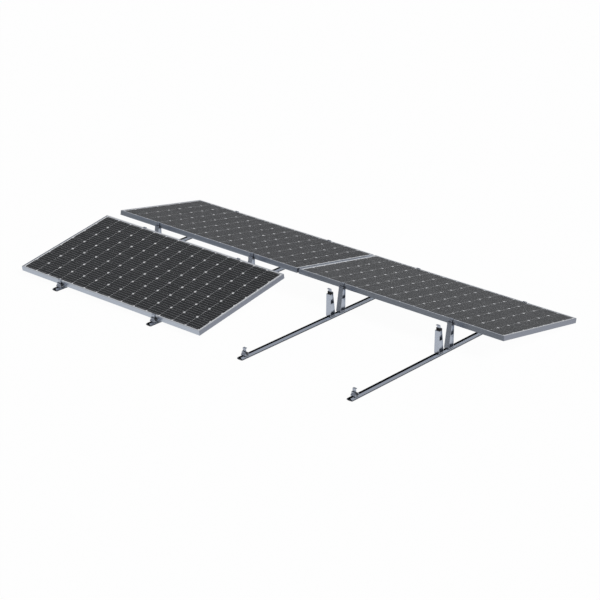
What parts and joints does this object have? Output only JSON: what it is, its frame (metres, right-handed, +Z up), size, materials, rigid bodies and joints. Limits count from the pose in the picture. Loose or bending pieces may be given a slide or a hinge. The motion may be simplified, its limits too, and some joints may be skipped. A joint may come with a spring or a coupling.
{
  "type": "solar ballast mount",
  "caption": "Low east-west flat-roof mount: slotted base rails with posts, feet and end clamps that carry framed solar modules tilted ten degrees to a ridge.",
  "frame": {"origin": "on the roof surface, at the middle of the whole mount's length and width, below the ridge gap", "axes": "+X along the modules' long sides, +Y along the rails from the bay's bare end towards the rear modules, +Z up"},
  "size_m": [4.018, 2.2486, 0.2557],
  "materials": {
    "rail_aluminium": "mill-finish extrusion, satin",
    "bracket_aluminium": "mill-finish extrusion, satin",
    "clamp_aluminium": "mill-finish extrusion with a steel set screw",
    "strip_rubber": "black protective rubber, matt",
    "frame_aluminium": "silver anodised, satin",
    "cell_glass": "glass over dark cells, low sheen",
    "box_plastic": "black moulded plastic"
  },
  "bodies": {
    "root": {"rail_1": "rail_aluminium", "rail_strip_1": "strip_rubber", "front_post_1": "bracket_aluminium", "front_foot_1": "bracket_aluminium", "front_ridge_clamp_1": "clamp_aluminium", "front_foot_clamp_1": "clamp_aluminium", "rear_post_1": "bracket_aluminium", "rear_foot_1": "bracket_aluminium", "rear_ridge_clamp_1": "clamp_aluminium", "rear_foot_clamp_1": "clamp_aluminium", "rail_2": "rail_aluminium", "rail_strip_2": "strip_rubber", "front_post_2": "bracket_aluminium", "front_foot_2": "bracket_aluminium", "front_ridge_clamp_2": "clamp_aluminium", "front_foot_clamp_2": "clamp_aluminium", "rear_post_2": "bracket_aluminium", "rear_foot_2": "bracket_aluminium", "rear_ridge_clamp_2": "clamp_aluminium", "rear_foot_clamp_2": "clamp_aluminium", "rail_3": "rail_aluminium", "rail_strip_3": "strip_rubber", "front_post_3": "bracket_aluminium", "front_foot_3": "bracket_aluminium", "front_ridge_clamp_3": "clamp_aluminium", "front_foot_clamp_3": "clamp_aluminium", "rear_post_3": "bracket_aluminium", "rear_foot_3": "bracket_aluminium", "rear_ridge_clamp_3": "clamp_aluminium", "rear_foot_clamp_3": "clamp_aluminium", "rail_4": "rail_aluminium", "rail_strip_4": "strip_rubber", "front_post_4": "bracket_aluminium", "front_foot_4": "bracket_aluminium", "front_ridge_clamp_4": "clamp_aluminium", "front_foot_clamp_4": "clamp_aluminium", "rear_post_4": "bracket_aluminium", "rear_foot_4": "bracket_aluminium", "rear_ridge_clamp_4": "clamp_aluminium", "rear_foot_clamp_4": "clamp_aluminium", "front_left_frame_low": "frame_aluminium", "front_left_frame_high": "frame_aluminium", "front_left_frame_end_a": "frame_aluminium", "front_left_frame_end_b": "frame_aluminium", "front_left_laminate": "cell_glass", "front_left_junction_box": "box_plastic", "rear_left_frame_low": "frame_aluminium", "rear_left_frame_high": "frame_aluminium", "rear_left_frame_end_a": "frame_aluminium", "rear_left_frame_end_b": "frame_aluminium", "rear_left_laminate": "cell_glass", "rear_left_junction_box": "box_plastic", "rear_right_frame_low": "frame_aluminium", "rear_right_frame_high": "frame_aluminium", "rear_right_frame_end_a": "frame_aluminium", "rear_right_frame_end_b": "frame_aluminium", "rear_right_laminate": "cell_glass", "rear_right_junction_box": "box_plastic"}
  },
  "joints": []
}
